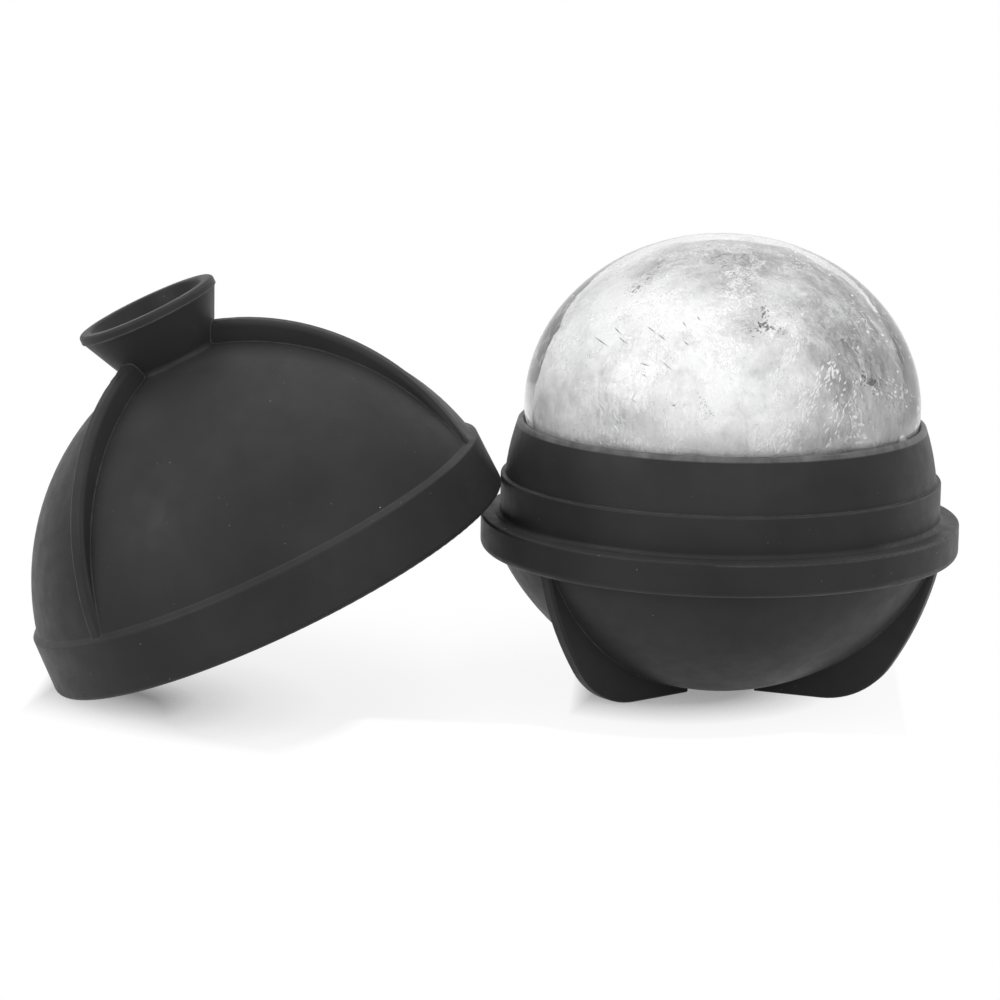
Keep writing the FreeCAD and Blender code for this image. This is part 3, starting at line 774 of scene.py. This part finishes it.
# %% Which rays see plain white
def seen_directly(graph):
    """One for rays from the camera, from a reflection or through ice, and otherwise nought."""
    path = graph.nodes.new("ShaderNodeLightPath")
    mirrored = math_of(graph, "ADD", path.outputs["Is Glossy Ray"],
                       path.outputs["Is Transmission Ray"])
    return math_of(graph, "MINIMUM", math_of(graph, "ADD", mirrored, path.outputs["Is Camera Ray"]),
                   1.0)


# %% [markdown]
# The floor is a real surface that takes the shadow of the mold. White light from it would drown
# that shadow, so the lift to white is weaker near the edge of the lid and under the cup. How weak
# it is at each distance was set with the picture beside it, and so was the paper under the edge of
# the lid, which is darker than the rest. So the shade is partly cast and partly drawn, and from
# behind one can see where the drawn part ends. A shadow catcher would be simpler, but it needs the
# picture to be put together afterwards.

# %% The paper floor
FLOOR_TONE = 0.90
FIBRE_WIDTH = 0.45 * MM
FIBRE_CONTRAST = 0.16
FIBRE_HEIGHT = 0.02 * MM
SHADE_BY_LID = (-0.097, -0.022, 0.0)
SHADE_BY_CUP = (-0.008, 0.0, 0.0)
SHADE_MIDDLE = (-0.04, 0.05, 0.0)
# Painted shadow on the paper near the edge of the lid:
PAINTED_SHADOW_TONE = 0.60
PAINTED_SHADOW_REACH = (3 * MM, 13 * MM)
SHADE_REACH = 0.100
LIFT_BY_LID = [(0.06, 0.08), (0.16, 0.55), (0.25, 0.74), (0.36, 0.85), (0.50, 0.89), (0.85, 1.0)]
LIFT_BY_CUP = [(0.13, 0.30), (0.27, 0.90), (0.65, 1.0)]
LEFT_OF_CUP = (9 * MM, 15 * MM)
LIFT_LEFT_OF_CUP = 0.92
FRONT_ENDS = (4 * MM, 30 * MM)
FRONT_FROM_LID = (18 * MM, 44 * MM)
FRONT_FROM_CUP = (20 * MM, 36 * MM)
LEFT_ENDS = (6 * MM, 11 * MM)
RIGHT_ENDS = (28 * MM, 38 * MM)
FAR_ENDS = (0.080, 0.106)


def between(graph, distance, ends):
    """Goes from nought to one between two distances."""
    return range_of(graph, distance, 0.0, 1.0, floor=ends[0], ceiling=ends[1])


def lift_of(graph, place, from_lid, from_cup):
    """How far the floor is lifted to white: weakly near the mold, and fully beyond its shade."""
    by_lid = ramp_of(graph, between(graph, from_lid, (0.0, SHADE_REACH)), LIFT_BY_LID)
    by_cup = ramp_of(graph, between(graph, from_cup, (0.0, SHADE_REACH)), LIFT_BY_CUP)
    beside_cup = along_of(graph, place, SHADE_BY_CUP, (-1.0, 0.0, 0.0), *LEFT_OF_CUP)
    by_cup = math_of(graph, "MAXIMUM", by_cup,
                     math_of(graph, "MULTIPLY", beside_cup, LIFT_LEFT_OF_CUP))
    front = along_of(graph, place, (0.0, 0.0, 0.0), (0.0, -1.0, 0.0), *FRONT_ENDS)
    for distance, ends in ((from_lid, FRONT_FROM_LID), (from_cup, FRONT_FROM_CUP)):
        front = math_of(graph, "MULTIPLY", front, between(graph, distance, ends))
    left = along_of(graph, place, SHADE_BY_LID, (-1.0, 0.0, 0.0), *LEFT_ENDS)
    right = along_of(graph, place, SHADE_BY_CUP, (1.0, 0.0, 0.0), *RIGHT_ENDS)
    from_middle = vector_math_of(graph, "DISTANCE", place, SHADE_MIDDLE)["Value"]
    lift = math_of(graph, "MINIMUM", by_lid, by_cup)
    for lighter in (front, left, right, between(graph, from_middle, FAR_ENDS)):
        lift = math_of(graph, "MAXIMUM", lift, lighter)
    return lift


def paper_floor():
    """White paper, faintly grained, lifted towards white where it is seen, but not in the shade."""
    material, graph, shader, place = new_material("paper_floor")
    fibres = noise_of(graph, place, FIBRE_WIDTH, detail=4.0)
    paper = ramp_of(graph, fibres, [(0.3, FLOOR_TONE - FIBRE_CONTRAST), (0.7, FLOOR_TONE)])
    from_lid = vector_math_of(graph, "DISTANCE", place, SHADE_BY_LID)["Value"]
    from_cup = vector_math_of(graph, "DISTANCE", place, SHADE_BY_CUP)["Value"]
    # Painted shadow: the paper is darker near the edge of the lid.
    painted_shadow = range_of(graph, from_lid, PAINTED_SHADOW_TONE, 1.0,
                       floor=PAINTED_SHADOW_REACH[0], ceiling=PAINTED_SHADOW_REACH[1])
    graph.links.new(mixed_of(graph, "MULTIPLY", 1.0, paper, painted_shadow), shader.inputs["Base Color"])
    shader.inputs["Roughness"].default_value = 0.9
    shader.inputs["Specular IOR Level"].default_value = 0.1
    graph.links.new(bump_of(graph, fibres, FIBRE_HEIGHT, 0.3), shader.inputs["Normal"])

    lift = lift_of(graph, place, from_lid, from_cup)
    white = graph.nodes.new("ShaderNodeEmission")
    mix = graph.nodes.new("ShaderNodeMixShader")
    graph.links.new(math_of(graph, "MULTIPLY", seen_directly(graph), lift), mix.inputs["Fac"])
    graph.links.new(shader.outputs["BSDF"], mix.inputs[1])
    graph.links.new(white.outputs["Emission"], mix.inputs[2])
    graph.links.new(mix.outputs["Shader"], graph.nodes["Material Output"].inputs["Surface"])
    return material


# %% [markdown]
# The sheet is large, so that its edge lies far off, where floor and room are both plain white. It
# lies a hair under the mold, because two faces at one height would flicker through each other.

# %% Lay the floor
FLOOR_HALF_WIDTH = 3.0
FLOOR_SQUARES = 40
FLOOR_UNDER_MOLD = 0.01 * MM

floor_form = bmesh.new()
bmesh.ops.create_grid(floor_form, x_segments=FLOOR_SQUARES, y_segments=FLOOR_SQUARES,
                      size=FLOOR_HALF_WIDTH)
floor_mesh = bpy.data.meshes.new("paper_floor")
floor_form.to_mesh(floor_mesh)
floor_form.free()
floor_mesh.materials.append(paper_floor())
floor = bpy.data.objects.new("paper_floor", floor_mesh)
floor.location.z = cad_box[0][2] - FLOOR_UNDER_MOLD
bpy.context.scene.collection.objects.link(floor)
print("the floor has", len(floor_mesh.polygons), "squares")

# %% [markdown]
# The room around the table is the world. It has two backgrounds: plain white for the rays that see
# it directly, and a dim white that lights the object evenly from all sides.

# %% The white room
AMBIENT = 0.28
WHITE = (1.0, 1.0, 1.0, 1.0)

world = bpy.data.worlds.new("white_room")
bpy.context.scene.world = world
world.use_nodes = True
room = world.node_tree
light_of_room = room.nodes["Background"]
light_of_room.inputs["Color"].default_value = WHITE
light_of_room.inputs["Strength"].default_value = AMBIENT
seen_room = room.nodes.new("ShaderNodeBackground")
seen_room.inputs["Color"].default_value = WHITE
seen_room.inputs["Strength"].default_value = 1.0
room_mix = room.nodes.new("ShaderNodeMixShader")
room.links.new(seen_directly(room), room_mix.inputs["Fac"])
room.links.new(light_of_room.outputs["Background"], room_mix.inputs[1])
room.links.new(seen_room.outputs["Background"], room_mix.inputs[2])
room.links.new(room_mix.outputs["Shader"], room.nodes["World Output"].inputs["Surface"])
print("ambient light:", AMBIENT)

# %% [markdown]
# Four soft lamps do the modelling. A wide one hangs overhead, the key lamp stands at the left in
# front and lights the dome of the lid, a wider one of the same power fills in from the right, and
# the last one, behind on the right, draws the far edge of the cup. Their size is what makes the
# shadows soft. The lamp behind is hidden from reflections and from rays through the ice, where it
# would show as a hard white patch. All four are weak, because the white of the picture doesn't
# come from them.


# %% Soft lamps
def soft_lamp(name, at, aim, width, height, power):
    """A softbox at a place, turned towards a point."""
    lamp = bpy.data.lights.new(name, "AREA")
    lamp.shape = "RECTANGLE"
    lamp.size = width
    lamp.size_y = height
    lamp.energy = power
    holder = bpy.data.objects.new(name, lamp)
    way = Vector(aim) - Vector(at)
    holder.matrix_world = (Matrix.Translation(Vector(at))
                           @ way.to_track_quat("-Z", "Y").to_matrix().to_4x4())
    bpy.context.scene.collection.objects.link(holder)
    print(name, "gives", power, "watts")
    return holder


AIM = (-0.03, 0.0, 0.04)
soft_lamp("lamp_overhead", (0.00, -0.05, 0.95), AIM, width=0.9, height=0.9, power=4.0)
soft_lamp("lamp_key", (-0.75, -0.45, 0.48), AIM, width=0.45, height=0.45, power=3.0)
soft_lamp("lamp_front", (0.45, -0.85, 0.40), AIM, width=0.8, height=0.6, power=3.0)
behind = soft_lamp("lamp_behind_right", (0.62, 0.55, 0.36), AIM, width=0.4, height=0.6, power=3.6)
behind.visible_glossy = False
behind.visible_transmission = False
